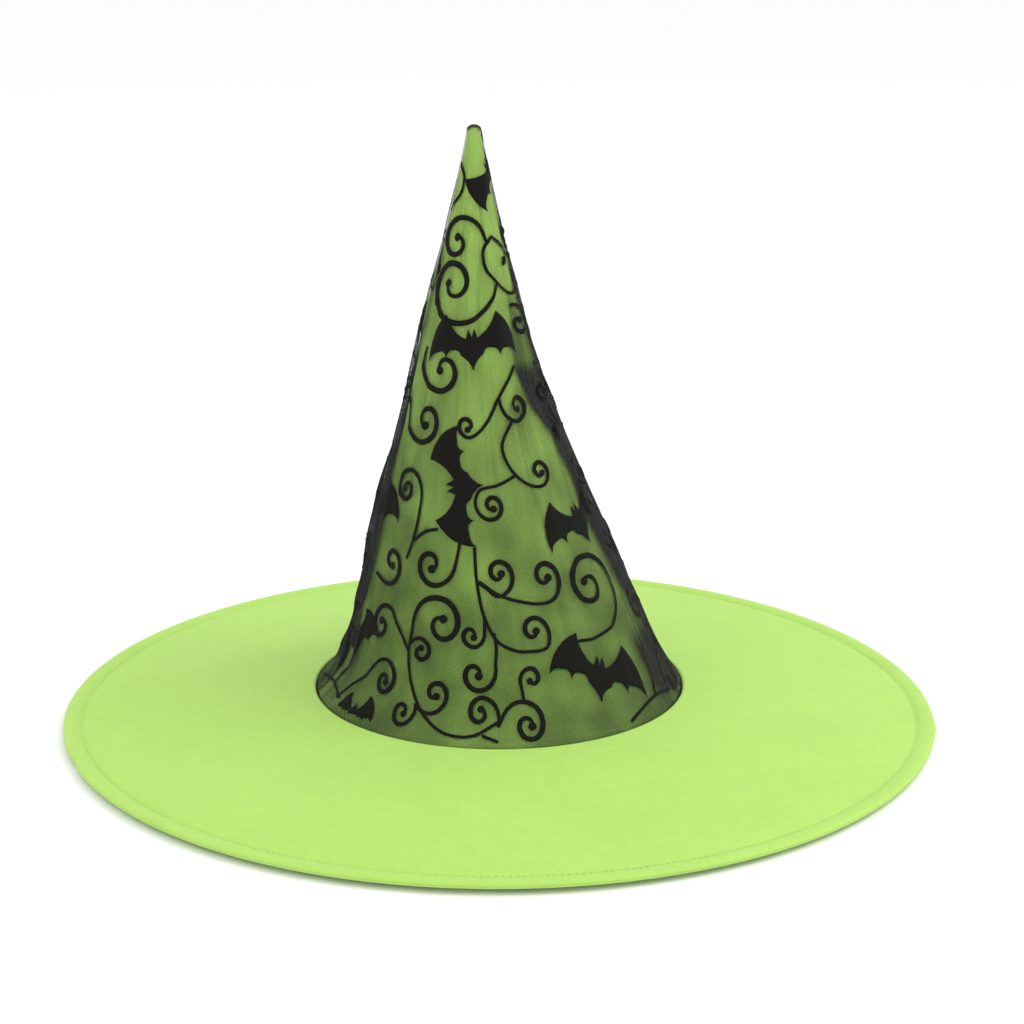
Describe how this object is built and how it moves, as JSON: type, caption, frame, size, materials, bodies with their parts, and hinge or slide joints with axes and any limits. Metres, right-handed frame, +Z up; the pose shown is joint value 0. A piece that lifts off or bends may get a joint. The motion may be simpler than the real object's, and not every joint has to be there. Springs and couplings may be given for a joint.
{
  "type": "witch hat",
  "caption": "Pointed costume hat with a wide wire-edged brim and a tall leaning cloth crown under a flocked net skin, open inside for a head.",
  "frame": {"origin": "centre of the brim on the plane that its rim stands on", "axes": "+Z up through the crown, -Y towards the front, +X to the wearer's left; the tip leans towards -X"},
  "size_m": [0.432, 0.432, 0.2916],
  "materials": {
    "lime_cloth": "plain-woven polyester, low sheen",
    "flocked_net": "black net with velvet flock swirls and bats",
    "non_woven": "matt bonded non-woven",
    "lime_thread": "twisted polyester thread",
    "black_thread": "twisted polyester thread",
    "band_tape": "ribbed woven tape",
    "label_satin": "blank satin tape",
    "spring_steel": "drawn spring wire",
    "sleeve_plastic": "plain tube"
  },
  "bodies": {
    "root": {"crown_net_overlay": "flocked_net", "crown_cloth": "lime_cloth", "crown_stiffener": "non_woven", "crown_back_seam_thread": "lime_thread", "tip_tack_thread": "black_thread", "brim_top_cloth": "lime_cloth", "brim_stiffener": "non_woven", "brim_under_cloth": "lime_cloth", "brim_edge_wire": "spring_steel", "wire_end_sleeve": "sleeve_plastic", "edge_seam_thread": "lime_thread", "channel_needle_thread": "lime_thread", "channel_bobbin_thread": "lime_thread", "crown_seam_needle_thread": "lime_thread", "crown_seam_bobbin_thread": "lime_thread", "net_basting_thread": "black_thread", "sweatband": "band_tape", "sweatband_thread": "black_thread", "care_label": "label_satin"}
  },
  "joints": []
}
